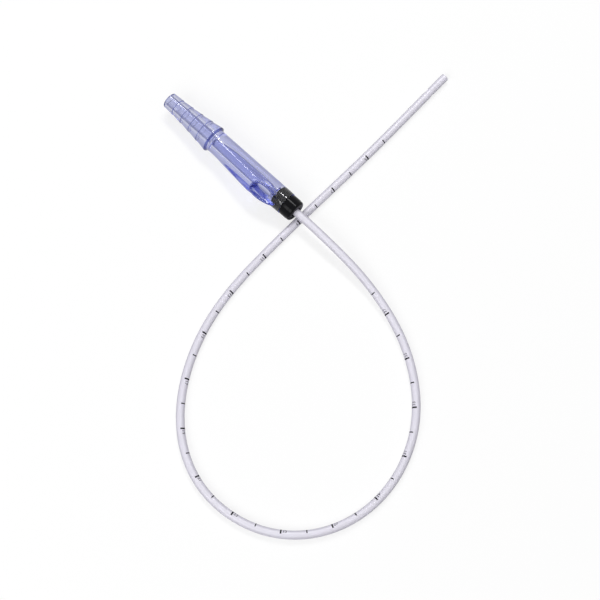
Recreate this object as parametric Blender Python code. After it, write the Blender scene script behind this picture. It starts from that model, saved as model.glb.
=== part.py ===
"""A suction catheter, lying on a table as it comes out of its pack.

A translucent control connector has a ribbed taper for the suction line at one end and a slanted
oval thumb port near the other. A black sleeve, whose colour tells the tube's size, is pressed into
its mouth. A soft clear tube comes out of the sleeve and lies on the table in one open loop.

Units are metres and +Z is up. The origin is on the table under the middle of the connector and
its sleeve. +X runs along the connector towards the tube.
"""

import math

import bmesh
import bpy
import numpy as np

MM = 0.001

# Ribbed taper, from the vacuum end at x = 0
TAPER_LENGTH = 25.5 * MM
TAPER_SMALL_R = 3.5 * MM
TAPER_LARGE_R = 5.9 * MM
TAPER_CURVE = 1.45  # above 1 the taper flares like a horn
BARB_COUNT = 5
BARB_STEP = 0.2 * MM
BARB_STEP_LENGTH = 0.2 * MM
FLARE_LAND = 0.5 * MM
SHOULDER_LENGTH = 0.5 * MM
END_ROUND = 0.45 * MM

# Body
BODY_R = 4.9 * MM
CONNECTOR_LENGTH = 67.2 * MM
MOUTH_ROUND = 0.3 * MM

# Thumb port: an oval with a slanted rim, on a ridge that rises out of the body
PORT_TURN = math.radians(45)  # from straight up towards -Y
PORT_FROM_MOUTH = 8.2 * MM  # from its middle to the connector's mouth
PORT_HALF_LENGTH = 5.9 * MM
PORT_HALF_WIDTH = 2.85 * MM
PORT_EGG = 0.12  # how much wider it is towards the taper
PORT_RIM_HEIGHT = 6.5 * MM  # from the axis to the middle of the rim
PORT_RIM_SLOPE = -0.22
PORT_RIM_WALL = 0.75 * MM
PORT_RIM_BEVEL = 0.2 * MM
PORT_RIM_PROUD = 0.35 * MM
PORT_WALL_DRAFT = 0.2 * MM
RAMP_FROM_SHOULDER = 1.0 * MM
RIDGE_HALF_WIDTH = 4.3 * MM
RIDGE_SQUARENESS = 2.0  # 0 is a plain ellipse all along
RIDGE_FILLET = 0.5 * MM  # depth over which the ridge's foot is filled
SLOT_SHIFT = 2.0 * MM  # towards the taper from the middle of the port
SLOT_HALF_LENGTH = 3.8 * MM
SLOT_HALF_WIDTH = 1.5 * MM
SLOT_TOP = 4.4 * MM
SLOT_TOP_SLOPE = -0.09

# Way through the connector
TAPER_BORE_R = 2.15 * MM
TAPER_BORE_FLARE = 0.25 * MM
NECK_R = 1.1 * MM
NECK_LENGTH = 1.0 * MM
CHAMBER_FROM_TAPER = 1.5 * MM
CHAMBER_R = 1.75 * MM
CHAMBER_LIFT = 1.0 * MM  # from the axis towards the port
CHAMBER_END_ROUND = 0.5 * MM
SOCKET_DEPTH = 6.0 * MM
SEAT_GAP = 0.3 * MM

# Sleeve
SPIGOT_R = 3.3 * MM
SPIGOT_LENGTH = 5.7 * MM
SPIGOT_BEVEL = 0.3 * MM
COLLAR_R = 4.7 * MM
COLLAR_LENGTH = 5.0 * MM
COLLAR_BEVEL = 0.15 * MM
COLLAR_NOSE_LENGTH = 1.8 * MM
COLLAR_NOSE_STEP = 0.12 * MM
COLLAR_NOSE_ROUND = 0.9 * MM
BORE_BEVEL = 0.3 * MM

# Tube
TUBE_R = 3.333 / 2 * MM  # 10 French
TUBE_IN_SLEEVE = 10.5 * MM
TUBE_STRAIGHT = 6.0 * MM
TUBE_DROP_LENGTH = 60.0 * MM
TUBE_POINTS = 60
# Where the tube passes, in mm from the sleeve's end: along the connector, and across it.
TUBE_ROUTE = [
    (16.8, -0.2), (33.1, -0.9), (49.2, -3.4), (64.7, -8.5), (78.8, -16.8), (90.5, -28.1),
    (98.5, -42.3), (101.9, -58.3), (99.9, -74.4), (92.4, -88.9), (80.1, -99.5), (64.8, -104.8),
    (48.5, -104.4), (33.5, -98.0), (21.4, -87.1), (12.5, -73.5), (6.5, -58.3), (3.3, -42.3),
    (2.2, -26.0), (2.0, -9.7), (2.1, 6.7), (2.4, 23.0), (2.6, 39.4), (2.5, 55.7), (2.2, 72.1),
    (1.9, 88.4),
]

# Facets
BODY_SIDES = 48
BORE_SIDES = 32
PORT_SIDES = 40
RIDGE_STATIONS = 16
ROUND_STEPS = 3
BORE_OVERRUN = 1.0 * MM  # how far a cutter reaches past the face that it opens

AXIS_Z = TAPER_LARGE_R  # the flare of the taper rests on the table
TAPER_END = TAPER_LENGTH + FLARE_LAND
SHOULDER_END = TAPER_END + SHOULDER_LENGTH
RAMP_START = SHOULDER_END + RAMP_FROM_SHOULDER
CHAMBER_START = TAPER_END + CHAMBER_FROM_TAPER
PORT_X = CONNECTOR_LENGTH - PORT_FROM_MOUTH
SLOT_X = PORT_X - SLOT_SHIFT
COLLAR_START = CONNECTOR_LENGTH + SEAT_GAP
OVERALL_LENGTH = COLLAR_START + COLLAR_LENGTH
SOCKET_R = SPIGOT_R + SEAT_GAP
SLEEVE_BORE_R = TUBE_R + SEAT_GAP


def clear_scene():
    for old in list(bpy.data.objects):
        bpy.data.objects.remove(old, do_unlink=True)


def plastic(name, colour, roughness, transmission=0.0, ior=1.5):
    """A plain plastic; transmission lets light through it."""
    material = bpy.data.materials.new(name)
    material.use_nodes = True
    shader = material.node_tree.nodes["Principled BSDF"]
    shader.inputs["Base Color"].default_value = (*colour, 1)
    shader.inputs["Roughness"].default_value = roughness
    shader.inputs["Metallic"].default_value = 0
    shader.inputs["Transmission Weight"].default_value = transmission
    shader.inputs["IOR"].default_value = ior
    return material


def skin(name, rings, closed=False):
    """An object skinned over rings of points, given one after the other along its length.

    The ends are filled, or, where closed is set, the last ring is joined to the first.
    """
    bm = bmesh.new()
    rows = [[bm.verts.new(point) for point in ring] for ring in rings]
    pairs = list(zip(rows, rows[1:]))
    if closed:
        pairs.append((rows[-1], rows[0]))
    else:
        bm.faces.new(rows[0])
        bm.faces.new(rows[-1])
    for first, second in pairs:
        for i in range(len(first)):
            j = (i + 1) % len(first)
            bm.faces.new((first[i], first[j], second[j], second[i]))
    bmesh.ops.recalc_face_normals(bm, faces=bm.faces)
    mesh = bpy.data.meshes.new(name)
    bm.to_mesh(mesh)
    bm.free()
    obj = bpy.data.objects.new(name, mesh)
    bpy.context.scene.collection.objects.link(obj)
    return obj


def finish(obj, material):
    obj.data.materials.append(material)
    obj.data.shade_smooth()
    obj.data.set_sharp_from_angle(angle=math.radians(35))


def boolean(target, tool, operation):
    """Adds or cuts away the tool, which stays as a wire guide outside the render."""
    tool.hide_render = True
    tool.display_type = "WIRE"
    modifier = target.modifiers.new(tool.name, "BOOLEAN")
    modifier.operation = operation
    modifier.solver = "EXACT"
    modifier.object = tool


def round_ring(x, radius, sides):
    turn = np.linspace(0, 2 * math.pi, sides, endpoint=False)
    return np.column_stack([np.full(sides, x), radius * np.sin(turn), radius * np.cos(turn)])


def turned(name, profile, sides, closed=False):
    """A turned shape, from (x, radius) pairs along the connector's axis."""
    return skin(name, [round_ring(x, radius, sides) for x, radius in profile], closed)


def quarter_round(x, radius, size, facing):
    """Profile points that round a corner off.

    The corner lies at (x, radius). facing is -1 where the end faces back along the axis, and the
    points then run from the end face to the side; facing 1 is the far end, from side to end face.
    """
    angles = [math.pi / 2 * i / ROUND_STEPS for i in range(ROUND_STEPS + 1)]
    points = [(x - facing * size * (1 - math.sin(a)), radius - size * (1 - math.cos(a)))
              for a in angles]
    return points if facing > 0 else points[::-1]


def taper_radius(x):
    """The ribbed taper's radius over its barbs, which grows faster towards the body."""
    share = x / TAPER_LENGTH
    return TAPER_SMALL_R + (TAPER_LARGE_R - TAPER_SMALL_R) * share**TAPER_CURVE


def taper_profile():
    """Five barbs, each a short cone that ends a little prouder than the next one starts."""
    pitch = TAPER_LENGTH / BARB_COUNT
    profile = quarter_round(0, TAPER_SMALL_R, END_ROUND, -1)
    for barb in range(BARB_COUNT):
        if barb:
            start = barb * pitch
            profile.append((start + BARB_STEP_LENGTH, taper_radius(start) - BARB_STEP))
        profile.append(((barb + 1) * pitch, taper_radius((barb + 1) * pitch)))
    profile.append((TAPER_END, TAPER_LARGE_R))
    return profile


def rim_height(x):
    """The height of the port's slanted rim above the axis."""
    return PORT_RIM_HEIGHT + PORT_RIM_SLOPE * (x - PORT_X)


def ridge_height(x):
    """The height of the ridge: up a straight ramp, then down just below the port's rim."""
    top_x = PORT_X - PORT_HALF_LENGTH - PORT_RIM_WALL
    top = rim_height(top_x) - PORT_RIM_PROUD
    ramp = BODY_R + (top - BODY_R) * (x - RAMP_START) / (top_x - RAMP_START)
    return min(ramp, rim_height(x) - PORT_RIM_PROUD)


def filled(first, second, fillet):
    """The larger of two radii, with the inner corner between them filled over a depth."""
    share = np.clip(0.5 + 0.5 * (first - second) / fillet, 0, 1)
    return second + (first - second) * share + fillet * share * (1 - share)


def body_ring(x):
    """The round body with the ridge standing out of its top, and a fillet at the ridge's foot.

    The ridge is the upper half of a superellipse of one width, which gets squarer with height.
    """
    height = ridge_height(x)
    rise = max(0, height - BODY_R) / (rim_height(PORT_X) - BODY_R)
    squareness = 2 + RIDGE_SQUARENESS * rise
    turn = np.linspace(0, 2 * math.pi, BODY_SIDES, endpoint=False)
    across, up = np.sin(turn), np.clip(np.cos(turn), 0, 1)
    ridge = (np.abs(across / RIDGE_HALF_WIDTH) ** squareness
             + (up / height) ** squareness) ** (-1 / squareness)
    radius = filled(BODY_R, np.where(up > 0, ridge, 0), RIDGE_FILLET)
    return np.column_stack([np.full(BODY_SIDES, x), radius * across, radius * np.cos(turn)])


def oval_ring(x, height, slope, half_length, half_width, egg=0.0):
    """An oval seen from above, whose points lie on a plane with the slope along the axis."""
    turn = np.linspace(0, 2 * math.pi, PORT_SIDES, endpoint=False)
    along = np.sign(np.cos(turn)) * np.abs(np.cos(turn)) ** 0.85
    across = np.sign(np.sin(turn)) * np.abs(np.sin(turn)) ** 0.85 * (1 - egg * along)
    along = along * half_length
    return np.column_stack([x + along, across * half_width, height + slope * along])


def rim_ring(grow, above):
    """A ring round the port, grown past the opening's edge, and above the plane of the rim."""
    return oval_ring(PORT_X, PORT_RIM_HEIGHT + above, PORT_RIM_SLOPE,
                     PORT_HALF_LENGTH + grow, PORT_HALF_WIDTH + grow, PORT_EGG)


def port_collar():
    """The raised lip round the port, from inside the body up to its bevelled rim."""
    foot = rim_ring(PORT_RIM_WALL + PORT_WALL_DRAFT, 0)
    foot[:, 2] = CHAMBER_R + PORT_RIM_WALL
    return skin("port_collar", [
        foot,
        rim_ring(PORT_RIM_WALL, -PORT_RIM_BEVEL),
        rim_ring(PORT_RIM_WALL - PORT_RIM_BEVEL, 0),
    ])


def port_well():
    """The way in through the port: a funnel down to a slot that opens into the chamber."""
    slot = (SLOT_X, SLOT_TOP, SLOT_TOP_SLOPE, SLOT_HALF_LENGTH, SLOT_HALF_WIDTH)
    floor = oval_ring(SLOT_X, 0, 0, SLOT_HALF_LENGTH, SLOT_HALF_WIDTH)
    return skin("port_well", [
        rim_ring(PORT_RIM_BEVEL + BORE_OVERRUN, BORE_OVERRUN),
        rim_ring(0, -PORT_RIM_BEVEL),
        oval_ring(*slot),
        floor,
    ])


def taper_bore():
    """The bore of the taper and the narrow neck at its end, as one turned cutter."""
    neck_start = CHAMBER_START - NECK_LENGTH
    profile = [
        (-BORE_OVERRUN, TAPER_BORE_R + TAPER_BORE_FLARE + BORE_OVERRUN),
        (TAPER_BORE_FLARE, TAPER_BORE_R),
        (neck_start, TAPER_BORE_R),
        (neck_start, NECK_R),
        (CHAMBER_START + CHAMBER_END_ROUND, NECK_R),
    ]
    return turned("taper_bore", profile, BORE_SIDES)


def chamber():
    """The long bore under the port, which lies nearer to the port than the axis does."""
    profile = [
        *quarter_round(CHAMBER_START, CHAMBER_R, CHAMBER_END_ROUND, -1),
        (CONNECTOR_LENGTH - SOCKET_DEPTH + SEAT_GAP, CHAMBER_R),
    ]
    bore = turned("chamber", profile, BORE_SIDES)
    bore.location.z = CHAMBER_LIFT
    return bore


def sleeve_socket():
    """The socket that the sleeve's spigot is pressed into."""
    profile = [
        (CONNECTOR_LENGTH - SOCKET_DEPTH, SOCKET_R),
        (CONNECTOR_LENGTH + BORE_OVERRUN, SOCKET_R),
    ]
    return turned("sleeve_socket", profile, BORE_SIDES)


def control_connector(material):
    """The connector's outside, with the port's lip joined on and the ways cut through it."""
    rings = [round_ring(x, radius, BODY_SIDES) for x, radius in taper_profile()]
    rings.append(round_ring(SHOULDER_END, BODY_R, BODY_SIDES))
    ridge_end = PORT_X + PORT_HALF_LENGTH + PORT_RIM_WALL
    for x in np.linspace(RAMP_START, ridge_end, RIDGE_STATIONS):
        rings.append(body_ring(x))
    rings += [round_ring(x, radius, BODY_SIDES)
              for x, radius in quarter_round(CONNECTOR_LENGTH, BODY_R, MOUTH_ROUND, 1)]
    body = skin("control_connector", rings)
    finish(body, material)
    lip = port_collar()
    boolean(body, lip, "UNION")
    ways = [taper_bore(), chamber(), sleeve_socket(), port_well()]
    for way in ways:
        boolean(body, way, "DIFFERENCE")
    return [body, lip, *ways]


def size_sleeve(material):
    """A spigot that fills the socket, a collar against the connector's mouth, and a bore."""
    end = OVERALL_LENGTH
    nose_r = COLLAR_R - COLLAR_NOSE_STEP
    spigot_start = CONNECTOR_LENGTH + SEAT_GAP - SPIGOT_LENGTH
    profile = [
        (spigot_start, SPIGOT_R - SPIGOT_BEVEL),
        (spigot_start + SPIGOT_BEVEL, SPIGOT_R),
        (COLLAR_START, SPIGOT_R),
        (COLLAR_START, COLLAR_R - COLLAR_BEVEL),
        (COLLAR_START + COLLAR_BEVEL, COLLAR_R),
        (end - COLLAR_NOSE_LENGTH, COLLAR_R),
        (end - COLLAR_NOSE_LENGTH + COLLAR_NOSE_STEP, nose_r),
        *quarter_round(end, nose_r, COLLAR_NOSE_ROUND, 1),
        (end, SLEEVE_BORE_R + BORE_BEVEL),
        (end - BORE_BEVEL, SLEEVE_BORE_R),
        (spigot_start + BORE_BEVEL, SLEEVE_BORE_R),
        (spigot_start, SLEEVE_BORE_R + BORE_BEVEL),
    ]
    sleeve = turned("size_sleeve", profile, BODY_SIDES, closed=True)
    finish(sleeve, material)
    return sleeve


def spline_through(points, count):
    """Evenly spaced points along the natural cubic spline through the given points."""
    points = np.array(points, float)
    knots = np.concatenate([[0], np.cumsum(np.linalg.norm(np.diff(points, axis=0), axis=1))])
    gaps = np.diff(knots)
    slopes = np.diff(points, axis=0) / gaps[:, None]
    matrix = np.eye(len(points))
    bends = np.zeros_like(points)
    for i in range(1, len(points) - 1):
        matrix[i, i - 1 : i + 2] = gaps[i - 1], 2 * (gaps[i - 1] + gaps[i]), gaps[i]
        bends[i] = 6 * (slopes[i] - slopes[i - 1])
    bends = np.linalg.solve(matrix, bends)
    fine = np.linspace(0, knots[-1], 40 * len(points))
    i = np.clip(np.searchsorted(knots, fine, side="right") - 1, 0, len(gaps) - 1)
    before, after, gap = fine - knots[i], knots[i + 1] - fine, gaps[i]
    curve = (
        bends[i] * (after**3 / (6 * gap))[:, None]
        + bends[i + 1] * (before**3 / (6 * gap))[:, None]
        + (points[i] / gap[:, None] - bends[i] * gap[:, None] / 6) * after[:, None]
        + (points[i + 1] / gap[:, None] - bends[i + 1] * gap[:, None] / 6) * before[:, None]
    )
    walked = np.concatenate([[0], np.cumsum(np.linalg.norm(np.diff(curve, axis=0), axis=1))])
    even = np.linspace(0, walked[-1], count)
    return even, np.column_stack([np.interp(even, walked, curve[:, k]) for k in range(2)])


def tube_height(walked):
    """The tube leaves at the height of the axis and comes gently down onto the table."""
    share = np.clip((walked - TUBE_IN_SLEEVE - TUBE_STRAIGHT) / TUBE_DROP_LENGTH, 0, 1)
    return AXIS_Z + (TUBE_R - AXIS_Z) * share**2 * (3 - 2 * share)


def catheter_tube(material, exit_x, exit_y):
    """One length of tube, from its end inside the sleeve to its open tip."""
    straight = [(-TUBE_IN_SLEEVE, 0), (-TUBE_IN_SLEEVE / 2, 0), (0, 0), (TUBE_STRAIGHT, 0)]
    route = straight + [(x * MM, y * MM) for x, y in TUBE_ROUTE]
    walked, plan = spline_through(route, TUBE_POINTS)
    curve = bpy.data.curves.new("catheter_tube", "CURVE")
    curve.dimensions = "3D"
    curve.bevel_depth = TUBE_R
    curve.bevel_resolution = 2
    curve.use_fill_caps = True
    line = curve.splines.new("POLY")
    line.points.add(TUBE_POINTS - 1)
    for point, (x, y), z in zip(line.points, plan, tube_height(walked)):
        point.co = (exit_x + x, exit_y + y, z, 1)
    curve.materials.append(material)
    tube = bpy.data.objects.new("catheter_tube", curve)
    bpy.context.scene.collection.objects.link(tube)
    return tube


def axis_offset():
    """How far the axis lies from the middle of the connector's width.

    The port's lip reaches further out on the -Y side than the flare does on the +Y side.
    """
    rim = rim_ring(PORT_RIM_WALL, -PORT_RIM_BEVEL)
    reach = (rim[:, 2] * math.sin(PORT_TURN) - rim[:, 1] * math.cos(PORT_TURN)).max()
    return (reach - TAPER_LARGE_R) / 2


def main():
    clear_scene()
    blue = plastic("translucent_blue", (0.42, 0.46, 0.86), 0.12, transmission=0.9, ior=1.49)
    black = plastic("gloss_black", (0.012, 0.012, 0.014), 0.12)
    milky = plastic("milky_clear", (0.86, 0.85, 0.92), 0.3, transmission=0.5)

    axis = bpy.data.objects.new("connector_axis", None)
    bpy.context.scene.collection.objects.link(axis)
    axis.location = (-OVERALL_LENGTH / 2, axis_offset(), AXIS_Z)
    axis.rotation_euler.x = PORT_TURN
    for piece in [*control_connector(blue), size_sleeve(black)]:
        piece.parent = axis

    catheter_tube(milky, OVERALL_LENGTH / 2, axis_offset())


main()
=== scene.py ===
"""The looks of a suction catheter: tinted clear connector, black sleeve, milky printed tube.

Metres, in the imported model's frame: +X runs along the connector towards the tube, +Z is up, and
the table is z = 0. The connector's own shapes are worked out along its axis, from its vacuum end,
with the thumb port straight up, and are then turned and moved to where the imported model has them.
"""

import math

import bmesh
import bpy
import numpy as np
from mathutils import Matrix, Vector

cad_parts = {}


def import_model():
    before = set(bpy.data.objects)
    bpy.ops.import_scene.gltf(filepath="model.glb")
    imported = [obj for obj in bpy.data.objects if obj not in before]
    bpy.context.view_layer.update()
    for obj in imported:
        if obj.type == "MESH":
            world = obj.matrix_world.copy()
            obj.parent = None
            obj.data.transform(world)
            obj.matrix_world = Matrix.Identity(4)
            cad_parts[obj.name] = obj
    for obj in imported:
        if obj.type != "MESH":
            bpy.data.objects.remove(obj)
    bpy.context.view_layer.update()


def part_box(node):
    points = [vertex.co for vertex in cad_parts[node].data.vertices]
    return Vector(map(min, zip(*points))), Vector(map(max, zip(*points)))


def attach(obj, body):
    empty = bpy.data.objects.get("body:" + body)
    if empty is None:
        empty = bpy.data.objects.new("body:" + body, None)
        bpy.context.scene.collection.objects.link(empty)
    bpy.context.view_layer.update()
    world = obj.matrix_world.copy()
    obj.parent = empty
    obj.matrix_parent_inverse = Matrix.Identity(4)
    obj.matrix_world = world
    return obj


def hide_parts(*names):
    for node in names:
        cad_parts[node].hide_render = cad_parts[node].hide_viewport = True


MM = 0.001
CM = 0.01

# The photograph's view
VIEW_TILT = math.radians(18.3)
VIEW_TURN = math.radians(43.57)
VIEW_DISTANCE = 0.5304
VIEW_AIM = (0.0616, -0.0237, 0.0)
VIEW_LENS = 80.0  # in millimetres, as a camera has it, like the sensor
VIEW_SENSOR = 36.0
VIEW_NEAR = 0.01

# Ribbed taper
TAPER_LENGTH = 25.5 * MM
TAPER_SMALL_R = 3.5 * MM
TAPER_LARGE_R = 5.9 * MM
TAPER_CURVE = 1.45  # above 1 the taper flares like a horn
BARB_COUNT = 5
BARB_PITCH = TAPER_LENGTH / BARB_COUNT
BARB_STEP = 0.2 * MM
BARB_STEP_LENGTH = 0.25 * MM
BARB_STEP_FALL = (0.35, 0.85, 1.0)  # share of the step after each third of its length
FLARE_LAND = 0.5 * MM
FLARE_ROUND = 0.3 * MM
FLARE_END = TAPER_LENGTH + FLARE_LAND
SHOULDER_LENGTH = 0.5 * MM
SHOULDER_END = FLARE_END + SHOULDER_LENGTH
END_ROUND = 0.45 * MM

# Body and thumb port
BODY_R = 4.9 * MM
CONNECTOR_LENGTH = 67.2 * MM
MOUTH_ROUND = 0.3 * MM
PORT_TURN = math.radians(45)  # from straight up towards -Y
PORT_X = CONNECTOR_LENGTH - 8.2 * MM
PORT_HALF_LENGTH = 5.9 * MM
PORT_HALF_WIDTH = 2.85 * MM
PORT_EGG = 0.12  # how much wider it is towards the taper
PORT_CORNERS = 0.85  # 1 is an ellipse, less has fuller corners
PORT_RIM_HEIGHT = 6.5 * MM  # from the axis to the middle of the rim
PORT_RIM_SLOPE = -0.22
PORT_RIM_WALL = 0.75 * MM
PORT_RIM_ROUND = 0.33 * MM
PORT_RIM_PROUD = 0.35 * MM
PORT_WALL_DRAFT = 0.2 * MM
WELL_BOW = (0.25, 0.25, 0)  # how far the well's wall bows out from a straight way to the slot
WELL_STEPS = 8
RAMP_START = 27.5 * MM
RAMP_BLEND = 2.0 * MM
RIDGE_HALF_WIDTH = 4.3 * MM
RIDGE_SQUARENESS = 2.0  # 0 is a plain ellipse all along
RIDGE_FILLET = 0.5 * MM  # depth over which the ridge's foot is filled
SLOT_X = PORT_X - 2.0 * MM
SLOT_HALF_LENGTH = 3.8 * MM
SLOT_HALF_WIDTH = 1.5 * MM
SLOT_TOP = 4.4 * MM
SLOT_TOP_SLOPE = -0.09

# Way through the connector
TAPER_BORE_R = 2.15 * MM
TAPER_BORE_FLARE = 0.25 * MM
TAPER_BORE_CORNER = 0.2 * MM
NECK_R = 1.1 * MM
NECK_LENGTH = 1.0 * MM
CHAMBER_START = 27.5 * MM
CHAMBER_R = 1.75 * MM
CHAMBER_LIFT = 1.0 * MM  # from the axis towards the port
CHAMBER_END_ROUND = 0.5 * MM
SOCKET_DEPTH = 6.0 * MM
SOCKET_BITE = 0.03 * MM  # the moulding grips the pressed-in spigot with no air between them
SEAT_SLIT = 0.02 * MM  # between the connector's mouth and the sleeve's collar
CUT_OVERRUN = 1.0 * MM  # how far a cutter reaches past the face that it opens

# Sleeve
SPIGOT_R = 3.3 * MM
SPIGOT_LENGTH = 5.7 * MM
SPIGOT_ROUND = 0.3 * MM
SEAT_GAP = 0.3 * MM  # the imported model's clearance round the spigot, at the mouth and in the bore
COLLAR_R = 4.7 * MM
COLLAR_LENGTH = 5.0 * MM
COLLAR_ROUND = 0.15 * MM
COLLAR_NOSE_LENGTH = 1.8 * MM
COLLAR_NOSE_STEP = 0.12 * MM
COLLAR_NOSE_ROUND = 0.9 * MM
STEP_ROUND = 0.06 * MM
STEP_FILLET = 0.03 * MM
BORE_BEVEL = 0.3 * MM

# Tube
TUBE_R = 3.333 / 2 * MM  # 10 French
TUBE_BORE_R = 1.15 * MM
TUBE_IN_SLEEVE = 10.5 * MM
TUBE_STRAIGHT = 6.0 * MM
TUBE_DROP_LENGTH = 60.0 * MM
TUBE_STEP = 1.0 * MM
TIP_ROUND = 0.12 * MM
TIP_CORNERS = (0.4, 0.7)  # lower is squarer: across the tube's wall, and along the tube
# Where the tube passes, in metres from the sleeve's end: along the connector, and across it.
TUBE_ROUTE = [
    (0.0168, -0.0002), (0.0331, -0.0009), (0.0492, -0.0034), (0.0647, -0.0085),
    (0.0788, -0.0168), (0.0905, -0.0281), (0.0985, -0.0423), (0.1019, -0.0583),
    (0.0999, -0.0744), (0.0924, -0.0889), (0.0801, -0.0995), (0.0648, -0.1048),
    (0.0485, -0.1044), (0.0335, -0.0980), (0.0214, -0.0871), (0.0125, -0.0735),
    (0.0065, -0.0583), (0.0033, -0.0423), (0.0022, -0.0260), (0.0020, -0.0097),
    (0.0021, 0.0067), (0.0024, 0.0230), (0.0026, 0.0394), (0.0025, 0.0557),
    (0.0022, 0.0721), (0.0019, 0.0884),
]
# Side eyes: distance from the tip to the middle, and the turn from the top to the tube's left
EYES = ((10.4 * MM, math.radians(75)), (9.8 * MM, math.radians(-105)))
EYE_LENGTH = 3.2 * MM
EYE_WIDTH = 1.7 * MM
EYE_REACH = (0.15, 1.4)  # heights between which the eye's cutter runs, in tube radiuses

# Printed depth marks
MARK_TURN = math.radians(42)  # from the tube's top, towards the inside of the loop
MARK_FIRST_CM = 4
MARK_LAST_CM = 38
TICK_SIZE = (0.45 * MM, 1.9 * MM)
NUMBERED_TICK_SIZE = (0.6 * MM, 2.5 * MM)
NUMBER_HEIGHT = 1.35 * MM
NUMBER_SHARE = 0.72  # height of a figure as a share of the font's size
NUMBER_STRIPS = 8  # across a figure's height, so that it bends round the tube
NUMBER_GAP = 0.55 * MM
INK_LIFT = 0.012 * MM

# Facets
FINE_SIDES = 160
PORT_SIDES = 128
CHAMBER_SIDES = 128
TAPER_BORE_SIDES = 96
TUBE_SIDES = 40
EYE_SIDES = 32
EYE_ROWS = 6
NUMBER_CURVE_STEPS = 4
TICK_ROWS = 3
TICK_COLUMNS = 9
RIDGE_STATIONS = 90
ROUND_STEPS = 8
SPLINE_SAMPLES = 60  # for each point of the tube's route

# Colours and gloss, each gloss as its lowest and highest roughness
CLEAR = (0.97, 0.97, 1.0)
# painted shade: the taper's bore a little darker than the same plastic outside
TAPER_BORE_SHADE_TINT = (0.92, 0.93, 1.0)
# painted shade: the chamber's and port well's walls a mid blue, darker than the same plastic
# outside
CHAMBER_SHADE_TINT = (0.7, 0.73, 0.97)
# painted shade: a darker blue for the barb steps, the flare's shoulder, the port's edges and the
# chamber's rounded end
CREASE_SHADE_BLUE = (0.16, 0.2, 0.6)
# painted shade: the clear plastic's colour where it is seen edge on
EDGE_SHADE_BLUE = (0.01, 0.015, 0.2)
DEPTH_BLUE = (0.6, 0.64, 0.93)
SHADOW_BLUE = (0.15, 0.18, 0.5)
BORE_GLOSS = (0.15, 0.22)
BLACK = (0.003, 0.003, 0.004)
MILKY = (0.9, 0.88, 0.97)
# painted shade: the tube's grey where it is seen edge on
MILKY_EDGE_SHADE = (0.3, 0.28, 0.38)
INK = (0.005, 0.005, 0.008)
TABLE = (0.92, 0.92, 0.92)
WHITE = (1, 1, 1)
CLEAR_EDGE_SPREAD = 0.65  # how far the painted edge shade reaches in, for Layer Weight's Blend
MILKY_EDGE_SPREAD = 0.3
DEPTH_DENSITY = 95.0  # for each metre of clear plastic
DIM_SHINE = 0.08  # Specular IOR Level of the black plastic and the ink
GRAIN_SCALE = 4000.0
GRAIN_SHARE = 0.15
BUMP_DEPTH = 0.02 * MM

# Table and light. The glow is how much of the table is plain white, without shadows, wherever it
# is seen, mirrored or seen through. It grows to all of it between two distances.
TABLE_HALF = 1.5
TABLE_DROP = 0.05 * MM  # keeps the table clear of the tube that lies on it
TABLE_GLOW = 0.75
GLOW_FROM = 0.2
GLOW_FULL = 0.5
SKY_LOW = 0.1  # strength at the horizon
SKY_HIGH = 0.4  # strength from SKY_TOP up, where 1 is straight above
SKY_TOP = 0.9
LIGHT_DISTANCE = 1.2
LIGHT_BOUNCES = 32  # enough for light to find its way out of a thick clear rod

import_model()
connector_low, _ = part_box("control_connector")
sleeve_low, sleeve_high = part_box("size_sleeve")
AXIS_START = np.array([
    connector_low[0],
    (sleeve_low[1] + sleeve_high[1]) / 2,
    (sleeve_low[2] + sleeve_high[2]) / 2,
])
SLEEVE_END = np.array([sleeve_high[0], AXIS_START[1], AXIS_START[2]])


# Meshes from grids


def add_object(name, data):
    obj = bpy.data.objects.new(name, data)
    bpy.context.scene.collection.objects.link(obj)
    return obj


def add_mesh(name, points, faces):
    mesh = bpy.data.meshes.new(name)
    mesh.from_pydata(points, [], faces)
    return add_object(name, mesh)


def surface(name, grid, along=False):
    """A closed mesh over a grid of points, given as rows along the shape by columns around it.

    The last column joins the first. along joins the last row to the first too, and without it
    both rows are capped.
    """
    rows, columns = grid.shape[:2]
    index = np.arange(rows * columns).reshape(rows, columns)
    index = np.concatenate([index, index[:, :1]], axis=1)
    if along:
        index = np.concatenate([index, index[:1]], axis=0)
    quads = np.stack([index[:-1, :-1], index[:-1, 1:], index[1:, 1:], index[1:, :-1]], axis=-1)
    faces = quads.reshape(-1, 4).tolist()
    if not along:
        faces += [index[0, :columns][::-1].tolist(), index[-1, :columns].tolist()]
    obj = add_mesh(name, grid.reshape(-1, 3), faces)
    face_outwards(obj.data)
    return obj


def face_outwards(mesh):
    bm = bmesh.new()
    bm.from_mesh(mesh)
    bmesh.ops.recalc_face_normals(bm, faces=bm.faces)
    bm.to_mesh(mesh)
    bm.free()


def once_round(sides):
    """Angles evenly spread over one full turn, starting at 0."""
    return np.linspace(0, 2 * math.pi, sides, endpoint=False)


def lathe_grid(profile, sides=FINE_SIDES):
    """Each profile pair (x, radius) swept once round the axis.

    Across is the radius times the sine of the turn, and up is the radius times its cosine.
    """
    x, radius = np.array(profile, float).T
    turn = once_round(sides)
    return np.stack(np.broadcast_arrays(
        x[:, None], radius[:, None] * np.sin(turn), radius[:, None] * np.cos(turn)), axis=-1)


def turned(name, profile, sides=FINE_SIDES, along=False):
    """A closed lathe surface from a profile of (x, radius) pairs."""
    return surface(name, lathe_grid(profile, sides), along)


def rounded(x, radius, size, facing):
    """Profile points of a quarter circle in the corner (x, radius) of an end that faces -1 or 1."""
    turn = np.linspace(0, math.pi / 2, ROUND_STEPS + 1)
    points = np.column_stack([x - facing * size * (1 - np.sin(turn)),
                              radius - size * (1 - np.cos(turn))])
    return points.tolist() if facing > 0 else points[::-1].tolist()


def evaluated_mesh(obj):
    graph = bpy.context.evaluated_depsgraph_get()
    return bpy.data.meshes.new_from_object(obj.evaluated_get(graph))


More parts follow.
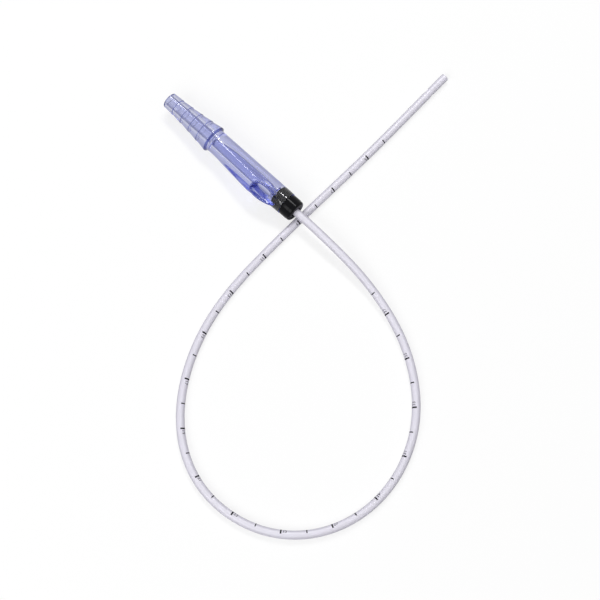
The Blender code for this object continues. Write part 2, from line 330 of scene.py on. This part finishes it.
def combine(target, tool, operation):
    """Joins on or cuts away a tool for good; the new faces keep the tool's materials, if any."""
    modifier = target.modifiers.new(tool.name, "BOOLEAN")
    modifier.operation = operation
    modifier.solver = "EXACT"
    modifier.object = tool
    if tool.data.materials:
        modifier.material_mode = "TRANSFER"
    mesh = evaluated_mesh(target)
    target.modifiers.clear()
    target.data = mesh
    bpy.data.objects.remove(tool)


def dress(obj, *materials):
    """Gives an object its materials, the first of them on every face."""
    for material in materials:
        obj.data.materials.append(material)
    return obj


def paint(obj, chosen):
    """Gives the faces that are chosen the object's second material."""
    for face in obj.data.polygons:
        if chosen(face):
            face.material_index = 1


def place_on_axis(obj, turn=0.0):
    """Turns the points about the connector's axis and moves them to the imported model's axis."""
    points = np.empty(len(obj.data.vertices) * 3)
    obj.data.vertices.foreach_get("co", points)
    x, y, z = points.reshape(-1, 3).T
    cosine, sine = math.cos(turn), math.sin(turn)
    placed = np.column_stack([x, y * cosine - z * sine, y * sine + z * cosine]) + AXIS_START
    obj.data.vertices.foreach_set("co", placed.ravel())
    obj.data.update()


def finish_piece(obj, sharp=35):
    """Shades it smooth with edges sharper than so many degrees kept."""
    obj.data.shade_smooth()
    obj.data.set_sharp_from_angle(angle=math.radians(sharp))
    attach(obj, "root")
    return obj


# Shader groups and materials


def feed(tree, socket, value):
    """Links a socket to another one, or sets it to a plain value."""
    if isinstance(value, bpy.types.NodeSocket):
        tree.links.new(value, socket)
    else:
        socket.default_value = value


def noise(tree, place, scale, detail):
    node = tree.nodes.new("ShaderNodeTexNoise")
    node.inputs["Detail"].default_value = detail
    feed(tree, node.inputs["Scale"], scale)
    feed(tree, node.inputs["Vector"], place)
    return node.outputs["Fac"]


def remap(tree, value, low, high, start=0.0, end=1.0, kind="LINEAR"):
    """A value that goes from start to end, spread from low to high."""
    node = tree.nodes.new("ShaderNodeMapRange")
    node.interpolation_type = kind
    for name, given in (("Value", value), ("From Min", start), ("From Max", end),
                        ("To Min", low), ("To Max", high)):
        feed(tree, node.inputs[name], given)
    return node.outputs["Result"]


def mix_shaders(tree, share, first, second):
    """Links the material's surface to the first shader, and the share given to the second."""
    mix = tree.nodes.new("ShaderNodeMixShader")
    for socket, value in zip(mix.inputs, (share, first.outputs[0], second.outputs[0])):
        feed(tree, socket, value)
    tree.links.new(mix.outputs[0], tree.nodes["Material Output"].inputs["Surface"])


def new_material(name):
    material = bpy.data.materials.new(name)
    material.use_nodes = True
    return material


def moulded_skin_group():
    """The faint unevenness of moulded plastic: slow waves, fine grain and a patchy gloss."""
    tree = bpy.data.node_groups.new("moulded_skin", "ShaderNodeTree")
    for name in ("Wave Scale", "Gloss Low", "Gloss High", "Bump"):
        tree.interface.new_socket(name, in_out="INPUT", socket_type="NodeSocketFloat")
    tree.interface.new_socket("Roughness", in_out="OUTPUT", socket_type="NodeSocketFloat")
    tree.interface.new_socket("Normal", in_out="OUTPUT", socket_type="NodeSocketVector")
    into, out = tree.nodes.new("NodeGroupInput"), tree.nodes.new("NodeGroupOutput")
    place = tree.nodes.new("ShaderNodeTexCoord").outputs["Object"]
    waves = noise(tree, place, into.outputs["Wave Scale"], 2)
    grain = noise(tree, place, GRAIN_SCALE, 3)
    gloss = remap(tree, waves, into.outputs["Gloss Low"], into.outputs["Gloss High"])
    tree.links.new(gloss, out.inputs["Roughness"])
    height = tree.nodes.new("ShaderNodeMath")
    height.operation = "MULTIPLY_ADD"
    for socket, value in zip(height.inputs, (grain, GRAIN_SHARE, waves)):
        feed(tree, socket, value)
    bump = tree.nodes.new("ShaderNodeBump")
    bump.inputs["Distance"].default_value = BUMP_DEPTH
    tree.links.new(into.outputs["Bump"], bump.inputs["Strength"])
    tree.links.new(height.outputs[0], bump.inputs["Height"])
    tree.links.new(bump.outputs["Normal"], out.inputs["Normal"])
    return tree


SKIN = moulded_skin_group()


def plastic(name, colour, gloss, bump, wave_scale=150.0, **settings):
    """A Principled plastic whose roughness and normal come from the moulded skin group."""
    material = new_material(name)
    tree = material.node_tree
    shader = tree.nodes["Principled BSDF"]
    shader.inputs["Base Color"].default_value = (*colour, 1)
    for socket, value in settings.items():
        shader.inputs[socket.replace("_", " ")].default_value = value
    skin = tree.nodes.new("ShaderNodeGroup")
    skin.node_tree = SKIN
    for socket, value in zip(skin.inputs, (wave_scale, *gloss, bump)):
        socket.default_value = value
    for socket in skin.outputs:
        tree.links.new(socket, shader.inputs[socket.name])
    return material


def edge_tint(material, facing, grazing, blend):
    """Painted shade: colours a see-through plastic darker the more edge on its surface is seen."""
    tree = material.node_tree
    edge = tree.nodes.new("ShaderNodeLayerWeight")
    edge.inputs["Blend"].default_value = blend
    tint = tree.nodes.new("ShaderNodeMix")
    tint.data_type = "RGBA"
    tint.inputs["A"].default_value = (*facing, 1)
    tint.inputs["B"].default_value = (*grazing, 1)
    tree.links.new(edge.outputs["Facing"], tint.inputs["Factor"])
    tree.links.new(tint.outputs["Result"], tree.nodes["Principled BSDF"].inputs["Base Color"])


def tinted_clear_plastic(name, tint, gloss, bump):
    """Clear plastic, with painted shade bluer and darker where it is seen edge on, and darker where
    it is thicker.

    Light from the lamps goes straight through it, tinted.
    """
    material = plastic(name, tint, gloss, bump, Transmission_Weight=1.0, IOR=1.49)
    tree = material.node_tree
    # painted shade: darker blue towards the edges as seen
    edge_tint(material, tint, EDGE_SHADE_BLUE, CLEAR_EDGE_SPREAD)
    depth = tree.nodes.new("ShaderNodeVolumeAbsorption")
    depth.inputs["Color"].default_value = (*DEPTH_BLUE, 1)
    depth.inputs["Density"].default_value = DEPTH_DENSITY
    tree.links.new(depth.outputs["Volume"], tree.nodes["Material Output"].inputs["Volume"])
    path = tree.nodes.new("ShaderNodeLightPath")
    pane = tree.nodes.new("ShaderNodeBsdfTransparent")
    pane.inputs["Color"].default_value = (*SHADOW_BLUE, 1)
    mix_shaders(tree, path.outputs["Is Shadow Ray"], tree.nodes["Principled BSDF"], pane)
    return material


def black_plastic():
    return plastic("black_plastic", BLACK, gloss=(0.08, 0.16), bump=0.15, wave_scale=300.0,
                   Specular_IOR_Level=DIM_SHINE)


def milky_plastic():
    """The tube's plastic: frosted, slightly lavender, letting a little light through, with painted
    shade grey towards its edges as seen.
    """
    material = plastic("milky_plastic", MILKY, gloss=(0.32, 0.38), bump=0.0, wave_scale=60.0,
                       Transmission_Weight=0.25, IOR=1.45)
    # painted shade: grey towards the tube's edges as seen
    edge_tint(material, MILKY, MILKY_EDGE_SHADE, MILKY_EDGE_SPREAD)
    return material


def ink():
    return plastic("ink", INK, gloss=(0.45, 0.55), bump=0.0, Specular_IOR_Level=DIM_SHINE)


# The connector


def taper_radius(x):
    """Radius over the barbs, which widens like a horn.

    It goes from the small end's to the flare's by the share of the length raised to a power.
    """
    return TAPER_SMALL_R + (TAPER_LARGE_R - TAPER_SMALL_R) * (x / TAPER_LENGTH) ** TAPER_CURVE


def taper_profile():
    """Short cones, each ending a little prouder than the next one starts, with softened steps."""
    soft = BARB_STEP_LENGTH / 3
    profile = rounded(0, TAPER_SMALL_R, END_ROUND, -1)
    for barb in range(BARB_COUNT):
        start, end = barb * BARB_PITCH, (barb + 1) * BARB_PITCH
        if barb:
            profile += [(start + (i + 1) * soft, taper_radius(start) - BARB_STEP * fall)
                        for i, fall in enumerate(BARB_STEP_FALL)]
        profile += [(x, taper_radius(x)) for x in (end - 2 * soft, end)]
    return profile + rounded(FLARE_END, TAPER_LARGE_R, FLARE_ROUND, 1)


def on_barb_step_or_shoulder(face):
    """Whether a face lies on a step between barbs, or between the flare's edge and the body, where
    the painted shade goes.
    """
    x = face.center.x
    on_step = BARB_PITCH < x < TAPER_LENGTH and x % BARB_PITCH < BARB_STEP_LENGTH
    return on_step or FLARE_END - FLARE_ROUND < x < SHOULDER_END


def rim_height(x):
    """Height of the port's rim above the axis: a straight line, lower towards the mouth."""
    return PORT_RIM_HEIGHT + PORT_RIM_SLOPE * (x - PORT_X)


def smaller(a, b, blend):
    """The smaller of two values, with the corner between them rounded over the blend.

    It goes straight from one to the other by their difference, less a parabola in between.
    """
    share = np.clip(0.5 + 0.5 * (b - a) / blend, 0, 1)
    return b + (a - b) * share - blend * share * (1 - share)


def ridge_height(x):
    """Height of the ridge: a straight ramp, then just below the slanted rim, blended."""
    top_x = PORT_X - PORT_HALF_LENGTH - PORT_RIM_WALL
    slope = (rim_height(top_x) - PORT_RIM_PROUD - BODY_R) / (top_x - RAMP_START)
    ramp = BODY_R + slope * (x - RAMP_START)
    return smaller(ramp, rim_height(x) - PORT_RIM_PROUD, RAMP_BLEND * slope)


def body_grid(x):
    """Rings across the axis: a circle, and the ridge standing out of its top with filled feet.

    The ridge is half a superellipse: across over its half width and up over its height, each
    raised to a power, add up to 1. The power grows from 2, an ellipse, with the ridge's height.
    """
    height = ridge_height(x)[:, None]
    rise = np.clip(height - BODY_R, 0, None) / (rim_height(PORT_X) - BODY_R)
    squareness = 2 + RIDGE_SQUARENESS * rise
    turn = once_round(FINE_SIDES)[None, :]
    across, up = np.sin(turn), np.clip(np.cos(turn), 0, 1)
    ridge = (np.abs(across / RIDGE_HALF_WIDTH) ** squareness
             + (up / height) ** squareness) ** (-1 / squareness)
    radius = -smaller(-BODY_R, np.where(up > 0, -ridge, 0), RIDGE_FILLET)
    return np.stack(np.broadcast_arrays(
        x[:, None], radius * across, radius * np.cos(turn)), axis=-1)


def oval(x, height, slope, half_length, half_width, egg=0.0):
    """An egg-shaped superellipse seen from above, its points on a plane that slopes with x.

    The cosine and sine of the turn, raised to a power below 1, are multiplied by the half length
    and the half width, and the width shrinks evenly along x by the egg.
    """
    turn = once_round(PORT_SIDES)
    along = np.sign(np.cos(turn)) * np.abs(np.cos(turn)) ** PORT_CORNERS
    across = np.sign(np.sin(turn)) * np.abs(np.sin(turn)) ** PORT_CORNERS * (1 - egg * along)
    along = along * half_length
    return np.column_stack([x + along, across * half_width, height + slope * along])


def rim_oval(grow, above):
    """The port's oval, grown outwards and raised above its rim by so much."""
    return oval(PORT_X, PORT_RIM_HEIGHT + above, PORT_RIM_SLOPE,
                PORT_HALF_LENGTH + grow, PORT_HALF_WIDTH + grow, PORT_EGG)


def port_lip(outside, crease_shade):
    """The lip round the port: ovals up its outer wall, then in over a quarter-round edge."""
    foot = rim_oval(PORT_RIM_WALL + PORT_WALL_DRAFT, 0)
    foot[:, 2] = CHAMBER_R + PORT_RIM_WALL
    turns = np.linspace(0, math.pi / 2, ROUND_STEPS + 1)
    edge = [rim_oval(PORT_RIM_WALL - PORT_RIM_ROUND * (1 - math.cos(t)),
                     -PORT_RIM_ROUND * (1 - math.sin(t))) for t in turns]
    lip = dress(surface("port_lip", np.array([foot, *edge])), outside, crease_shade)
    # painted shade: the lip's rounded edge gets the darker blue
    paint(lip, lambda face: face.index >= PORT_SIDES)
    return lip


def port_well(inside, crease_shade):
    """The cutter for the port: a rounded inner edge, a funnel, and a slot into the chamber.

    The funnel's ovals go from the brink to the slot, bowed out from a straight way by a parabola.
    """
    turns = np.linspace(math.pi / 2, 0, ROUND_STEPS + 1)
    edge = [rim_oval(PORT_RIM_ROUND * (1 - math.cos(t)), -PORT_RIM_ROUND * (1 - math.sin(t)))
            for t in turns]
    above = rim_oval(PORT_RIM_ROUND, CUT_OVERRUN)
    brink = edge[-1]
    slot = oval(SLOT_X, SLOT_TOP, SLOT_TOP_SLOPE, SLOT_HALF_LENGTH, SLOT_HALF_WIDTH)
    floor = oval(SLOT_X, 0, 0, SLOT_HALF_LENGTH, SLOT_HALF_WIDTH)
    shares = np.linspace(0, 1, WELL_STEPS + 1)[1:-1, None, None]
    wall = brink + (slot - brink) * shares + (brink - slot) * WELL_BOW * (
        shares * (1 - shares))
    well = dress(surface("port_well", np.array([above, *edge, *wall, slot, floor])),
                 inside, crease_shade)
    # painted shade: the port's rounded inner edge and the top of the funnel get the darker blue
    paint(well, lambda face: face.index < PORT_SIDES * (ROUND_STEPS + 2))
    return well


def taper_bore(inside):
    """The cutter for the taper's bore and the narrow neck at its end."""
    neck_start = CHAMBER_START - NECK_LENGTH
    return dress(turned("taper_bore", [
        (-CUT_OVERRUN, TAPER_BORE_R + TAPER_BORE_FLARE + CUT_OVERRUN),
        (TAPER_BORE_FLARE, TAPER_BORE_R),
        *rounded(neck_start, TAPER_BORE_R, TAPER_BORE_CORNER, 1),
        (neck_start, NECK_R),
        (CHAMBER_START + CHAMBER_END_ROUND, NECK_R),
    ], TAPER_BORE_SIDES), inside)


def chamber(inside, crease_shade):
    """The cutter for the long bore under the port, lifted off the axis towards the port."""
    bore = dress(turned("chamber", [
        *rounded(CHAMBER_START, CHAMBER_R, CHAMBER_END_ROUND, -1),
        (CONNECTOR_LENGTH - SOCKET_DEPTH + SEAT_GAP, CHAMBER_R),
    ], CHAMBER_SIDES), inside, crease_shade)
    bore.data.transform(Matrix.Translation((0, 0, CHAMBER_LIFT)))
    # painted shade: the chamber's rounded end gets the darker blue, as a dark outline
    paint(bore, lambda face: face.center.x < CHAMBER_START + CHAMBER_END_ROUND)
    return bore


def sleeve_socket(inside):
    """The cutter for the socket: a plain cylinder, a little narrower than the sleeve's spigot."""
    return dress(turned("sleeve_socket", [
        (CONNECTOR_LENGTH - SOCKET_DEPTH, SPIGOT_R - SOCKET_BITE),
        (CONNECTOR_LENGTH + CUT_OVERRUN, SPIGOT_R - SOCKET_BITE),
    ]), inside)


def connector():
    """The moulding as one grid, then the lip joined on and the ways through it cut away."""
    ridge_end = PORT_X + PORT_HALF_LENGTH + 2 * PORT_RIM_WALL
    along = np.linspace(SHOULDER_END, ridge_end, RIDGE_STATIONS)
    grid = np.concatenate([
        lathe_grid(taper_profile()),
        body_grid(along),
        lathe_grid(rounded(CONNECTOR_LENGTH, BODY_R, MOUTH_ROUND, 1)),
    ])
    body = surface("control_connector_moulding", grid)
    outside = tinted_clear_plastic("connector_outside", CLEAR, gloss=(0.02, 0.06), bump=0.04)
    # painted shade: the taper's bore in a slightly darker copy of the clear plastic
    taper_inside = tinted_clear_plastic("taper_bore", TAPER_BORE_SHADE_TINT, BORE_GLOSS, bump=0.1)
    # painted shade: the chamber and the port well in a darker copy of the clear plastic
    chamber_inside = tinted_clear_plastic("chamber_bore_shade", CHAMBER_SHADE_TINT, BORE_GLOSS, bump=0.1)
    # painted shade: a darker blue copy of the clear plastic
    crease_shade = tinted_clear_plastic("connector_crease_shade", CREASE_SHADE_BLUE, gloss=(0.05, 0.1), bump=0.0)
    dress(body, outside, crease_shade)
    # painted shade on the barb steps and the flare's shoulder
    paint(body, on_barb_step_or_shoulder)
    combine(body, port_lip(outside, crease_shade), "UNION")
    for way in (taper_bore(taper_inside), chamber(chamber_inside, crease_shade),
                sleeve_socket(outside), port_well(chamber_inside, crease_shade)):
        combine(body, way, "DIFFERENCE")
    place_on_axis(body, PORT_TURN)
    finish_piece(body, sharp=28)
    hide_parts("control_connector")


# The sleeve


def sleeve():
    """A lathe ring: spigot, collar with a fine step before its rounded nose, and the bore."""
    packed_seat = CONNECTOR_LENGTH + SEAT_GAP
    spigot = packed_seat - SPIGOT_LENGTH
    end = packed_seat + COLLAR_LENGTH
    seat = CONNECTOR_LENGTH + SEAT_SLIT
    step = end - COLLAR_NOSE_LENGTH
    nose_r = COLLAR_R - COLLAR_NOSE_STEP
    bore_r = TUBE_R + SEAT_GAP
    profile = [
        *rounded(spigot, SPIGOT_R, SPIGOT_ROUND, -1),
        (seat, SPIGOT_R),
        *rounded(seat, COLLAR_R, COLLAR_ROUND, -1),
        *rounded(step, COLLAR_R, STEP_ROUND, 1),
        (step, nose_r + STEP_FILLET),
        (step + STEP_FILLET, nose_r),
        *rounded(end, nose_r, COLLAR_NOSE_ROUND, 1),
        (end, bore_r + BORE_BEVEL),
        (end - BORE_BEVEL, bore_r),
        (spigot + BORE_BEVEL, bore_r),
        (spigot, bore_r + BORE_BEVEL),
    ]
    ring = dress(turned("size_sleeve_moulding", profile, along=True), black_plastic())
    place_on_axis(ring)
    finish_piece(ring, sharp=28)
    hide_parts("size_sleeve")


# The tube and its print


def distances_along(points):
    """How far each point is from the first one, walked along the straight lines between them."""
    return np.concatenate([[0], np.cumsum(np.linalg.norm(np.diff(points, axis=0), axis=1))])


def spline_through(points, step):
    """Points a step apart on the natural cubic spline through the given points.

    The spline's second derivatives at the points come from the usual three-term linear system.
    """
    points = np.array(points, float)
    knots = distances_along(points)
    gaps = np.diff(knots)
    slopes = np.diff(points, axis=0) / gaps[:, None]
    matrix = (np.diag(np.concatenate([[1], 2 * (gaps[:-1] + gaps[1:]), [1]]))
              + np.diag(np.concatenate([gaps[:-1], [0]]), -1)
              + np.diag(np.concatenate([[0], gaps[1:]]), 1))
    bends = np.zeros_like(points)
    bends[1:-1] = 6 * np.diff(slopes, axis=0)
    bends = np.linalg.solve(matrix, bends)
    fine = np.linspace(0, knots[-1], SPLINE_SAMPLES * len(points))
    i = np.clip(np.searchsorted(knots, fine, side="right") - 1, 0, len(gaps) - 1)
    before, after, gap = (fine - knots[i])[:, None], (knots[i + 1] - fine)[:, None], gaps[i, None]
    curve = (bends[i] * after**3 / (6 * gap) + bends[i + 1] * before**3 / (6 * gap)
             + (points[i] / gap - bends[i] * gap / 6) * after
             + (points[i + 1] / gap - bends[i + 1] * gap / 6) * before)
    walked = distances_along(curve)
    even = np.linspace(0, walked[-1], round(walked[-1] / step) + 1)
    return even, np.column_stack([np.interp(even, walked, curve[:, k]) for k in range(2)])


def tube_line():
    """The tube's centreline: level along the axis, then eased down onto the table.

    The share of the drop is three times the square of the share walked, less twice its cube.
    """
    straight = [(-TUBE_IN_SLEEVE, 0), (-TUBE_IN_SLEEVE / 2, 0), (0, 0), (TUBE_STRAIGHT, 0)]
    walked, plan = spline_through(straight + TUBE_ROUTE, TUBE_STEP)
    share = np.clip((walked - TUBE_IN_SLEEVE - TUBE_STRAIGHT) / TUBE_DROP_LENGTH, 0, 1)
    height = SLEEVE_END[2] + (TUBE_R - SLEEVE_END[2]) * share**2 * (3 - 2 * share)
    return np.column_stack([plan + SLEEVE_END[:2], height])


class Line:
    """A centreline with the directions along it, to its left and up from it."""

    def __init__(self, points):
        self.points = points
        self.along = np.gradient(points, axis=0)
        self.along /= np.linalg.norm(self.along, axis=1)[:, None]
        self.left = np.cross([0, 0, 1], self.along)
        self.left /= np.linalg.norm(self.left, axis=1)[:, None]
        self.up = np.cross(self.along, self.left)
        self.walked = distances_along(points)

    def at(self, walked, turn, radius):
        """Points on a tube round the line; turn is measured from the top towards the left.

        Each is the line's own point, the radius times the turn's sine to the left of it, and the
        radius times the turn's cosine up from it.
        """
        walked, turn, radius = np.broadcast_arrays(walked, turn, radius)
        place, left, up = (np.stack([np.interp(walked, self.walked, v[:, k]) for k in range(3)],
                                    axis=-1) for v in (self.points, self.left, self.up))
        return place + radius[..., None] * (np.sin(turn)[..., None] * left
                                            + np.cos(turn)[..., None] * up)


def tube(line):
    """A hollow tube: one grid along the outer wall, over the lip of the tip and back inside.

    The lip is half of a nearly square superellipse between the two walls.
    """
    end = line.walked[-1]
    across, along = TIP_CORNERS
    turns = np.linspace(0, math.pi, ROUND_STEPS)
    mid, half = (TUBE_R + TUBE_BORE_R) / 2, (TUBE_R - TUBE_BORE_R) / 2
    lip_r = mid + half * np.sign(np.cos(turns)) * np.abs(np.cos(turns)) ** across
    lip_s = end - TIP_ROUND * (1 - np.sin(turns) ** along)
    body = line.walked[:-1]
    walked = np.concatenate([body, lip_s, body[::-1]])
    radius = np.concatenate([np.full(len(body), TUBE_R), lip_r, np.full(len(body), TUBE_BORE_R)])
    piece = surface("catheter_tube_extrusion",
                    line.at(walked[:, None], once_round(TUBE_SIDES)[None, :], radius[:, None]),
                    along=True)
    for distance, side in EYES:
        combine(piece, eye_cutter(line, end - distance, side), "DIFFERENCE")
    return piece


def eye_cutter(line, middle, side):
    """A plug that goes through one wall of the tube: the same ellipse stacked outwards."""
    turn = once_round(EYE_SIDES)
    walked = middle + EYE_LENGTH / 2 * np.cos(turn)
    sideways = EYE_WIDTH / 2 * np.sin(turn)
    up = TUBE_R * np.linspace(*EYE_REACH, EYE_ROWS)[:, None]
    return surface("eye_cutter", line.at(
        walked, side + np.arctan2(sideways, up), np.hypot(sideways, up)))


def tick_grid(line, walked, size):
    """A small curved patch on the tube: a grid over the length and the way round."""
    length, width = size
    s = walked + np.linspace(-length / 2, length / 2, TICK_ROWS)
    turn = -MARK_TURN + np.linspace(-width / 2, width / 2, TICK_COLUMNS) / TUBE_R
    return line.at(s[:, None], turn[None, :], TUBE_R + INK_LIFT)


def number_mesh(text):
    """The number as flat triangles, x along its baseline, cut into strips that can be bent."""
    curve = bpy.data.curves.new("number", "FONT")
    curve.body = text
    curve.size = NUMBER_HEIGHT / NUMBER_SHARE
    curve.resolution_u = NUMBER_CURVE_STEPS
    holder = add_object("number", curve)
    bm = bmesh.new()
    bm.from_mesh(evaluated_mesh(holder))
    for cut_height in np.arange(0, NUMBER_HEIGHT, NUMBER_HEIGHT / NUMBER_STRIPS)[1:]:
        bmesh.ops.bisect_plane(bm, geom=[*bm.verts, *bm.edges, *bm.faces],
                               plane_co=(0, cut_height, 0), plane_no=(0, 1, 0))
    bmesh.ops.triangulate(bm, faces=bm.faces)
    points = np.array([v.co[:] for v in bm.verts])
    bm.verts.index_update()
    faces = [[v.index for v in f.verts] for f in bm.faces]
    bm.free()
    bpy.data.objects.remove(holder)
    return points, faces


def marks(line):
    """Every centimetre a tick, and at odd centimetres a bolder tick with its number behind it.

    A number's baseline lies along the tube, and its height is wound round it.
    """
    points, faces = [], []

    def add(new_points, new_faces):
        first = sum(len(p) for p in points)
        points.append(new_points)
        faces.extend([i + first for i in face] for face in new_faces)

    index = np.arange(TICK_ROWS * TICK_COLUMNS).reshape(TICK_ROWS, TICK_COLUMNS)
    tick_faces = np.stack([index[:-1, :-1], index[1:, :-1], index[1:, 1:], index[:-1, 1:]],
                          axis=-1).reshape(-1, 4).tolist()
    for centimetre in range(MARK_FIRST_CM, MARK_LAST_CM + 1):
        numbered = centimetre % 2 == 1
        walked = line.walked[-1] - centimetre * CM
        grid = tick_grid(line, walked, NUMBERED_TICK_SIZE if numbered else TICK_SIZE)
        add(grid.reshape(-1, 3), tick_faces)
        if numbered:
            flat, number_faces = number_mesh(str(centimetre))
            s = walked - NUMBER_GAP - flat[:, 0]
            turn = -MARK_TURN - (flat[:, 1] - NUMBER_HEIGHT / 2) / TUBE_R
            add(line.at(s, turn, TUBE_R + INK_LIFT), number_faces)
    piece = dress(add_mesh("depth_marks", np.concatenate(points), faces), ink())
    return finish_piece(piece)


def catheter_tube():
    """The tube and its print."""
    line = Line(tube_line())
    piece = dress(tube(line), milky_plastic())
    finish_piece(piece, sharp=40)
    print_piece = marks(line)
    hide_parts("catheter_tube")


# Floor, light and camera


def seen_directly(tree):
    """1 for rays that look at the background: straight, in a gloss or through clear plastic."""
    path = tree.nodes.new("ShaderNodeLightPath")
    seen = path.outputs["Is Camera Ray"]
    for kind in ("Is Glossy Ray", "Is Transmission Ray"):
        either = tree.nodes.new("ShaderNodeMath")
        either.operation = "MAXIMUM"
        tree.links.new(seen, either.inputs[0])
        tree.links.new(path.outputs[kind], either.inputs[1])
        seen = either.outputs[0]
    return seen


def floor():
    """A pale table that stays white wherever it is seen, and takes faint shadows near by."""
    material = new_material("pale_table")
    tree = material.node_tree
    tree.nodes.remove(tree.nodes["Principled BSDF"])
    paper = tree.nodes.new("ShaderNodeBsdfDiffuse")
    paper.inputs["Color"].default_value = (*TABLE, 1)
    glow = tree.nodes.new("ShaderNodeEmission")
    glow.inputs["Color"].default_value = (*WHITE, 1)
    away = tree.nodes.new("ShaderNodeVectorMath")
    away.operation = "LENGTH"
    tree.links.new(tree.nodes.new("ShaderNodeTexCoord").outputs["Object"], away.inputs[0])
    white = remap(tree, away.outputs["Value"], TABLE_GLOW, 1.0, GLOW_FROM, GLOW_FULL)
    mix_shaders(tree, remap(tree, seen_directly(tree), 0, white), paper, glow)
    half = TABLE_HALF
    corners = [(-half, -half, 0), (half, -half, 0), (half, half, 0), (-half, half, 0)]
    top = dress(add_mesh("table_top", corners, [(0, 1, 2, 3)]), material)
    top.location.z = -TABLE_DROP


def world():
    """A soft sky, brighter towards the top, and plain white wherever it is looked at."""
    sky = bpy.data.worlds.new("studio")
    bpy.context.scene.world = sky
    sky.use_nodes = True
    tree = sky.node_tree
    background = tree.nodes["Background"]
    background.inputs["Color"].default_value = (*WHITE, 1)
    way = tree.nodes.new("ShaderNodeSeparateXYZ")
    tree.links.new(tree.nodes.new("ShaderNodeTexCoord").outputs["Generated"], way.inputs[0])
    light = remap(tree, way.outputs["Z"], SKY_LOW, SKY_HIGH, 0.0, SKY_TOP, "SMOOTHSTEP")
    feed(tree, background.inputs["Strength"], remap(tree, seen_directly(tree), light, 1.0))


def area_light(name, way, size, power):
    """A soft box aimed at the connector, its longer side parallel to the connector's axis."""
    light = bpy.data.lights.new(name, "AREA")
    light.shape = "RECTANGLE"
    light.size, light.size_y = size
    light.energy = power
    lamp = add_object(name, light)
    back = Vector(way).normalized()
    side = (Vector((1, 0, 0)) - back * back.x).normalized()
    lamp.matrix_world = Matrix.Translation(back * LIGHT_DISTANCE) @ Matrix(
        (side, back.cross(side), back)).transposed().to_4x4()


def camera():
    """Looks down on the table, tilted a little from straight down, as the photograph does."""
    lens = bpy.data.cameras.new("camera")
    lens.lens = VIEW_LENS
    lens.sensor_width = VIEW_SENSOR
    lens.clip_start = VIEW_NEAR
    view = add_object("camera", lens)
    back = VIEW_DISTANCE * math.sin(VIEW_TILT)
    view.location = (
        VIEW_AIM[0] + back * math.sin(VIEW_TURN),
        VIEW_AIM[1] - back * math.cos(VIEW_TURN),
        VIEW_AIM[2] + VIEW_DISTANCE * math.cos(VIEW_TILT),
    )
    view.rotation_euler = (VIEW_TILT, 0, VIEW_TURN)
    bpy.context.scene.camera = view


camera()
catheter_tube()
connector()
sleeve()
floor()
world()
area_light("key", way=(-0.3, 0.45, 0.84), size=(0.75, 0.2), power=8.0)
area_light("fill", way=(0.1, -0.72, 0.68), size=(1.0, 0.6), power=7.5)
bpy.context.scene.view_settings.view_transform = "Standard"
for kind in ("max", "glossy", "transmission"):
    setattr(bpy.context.scene.cycles, f"{kind}_bounces", LIGHT_BOUNCES)
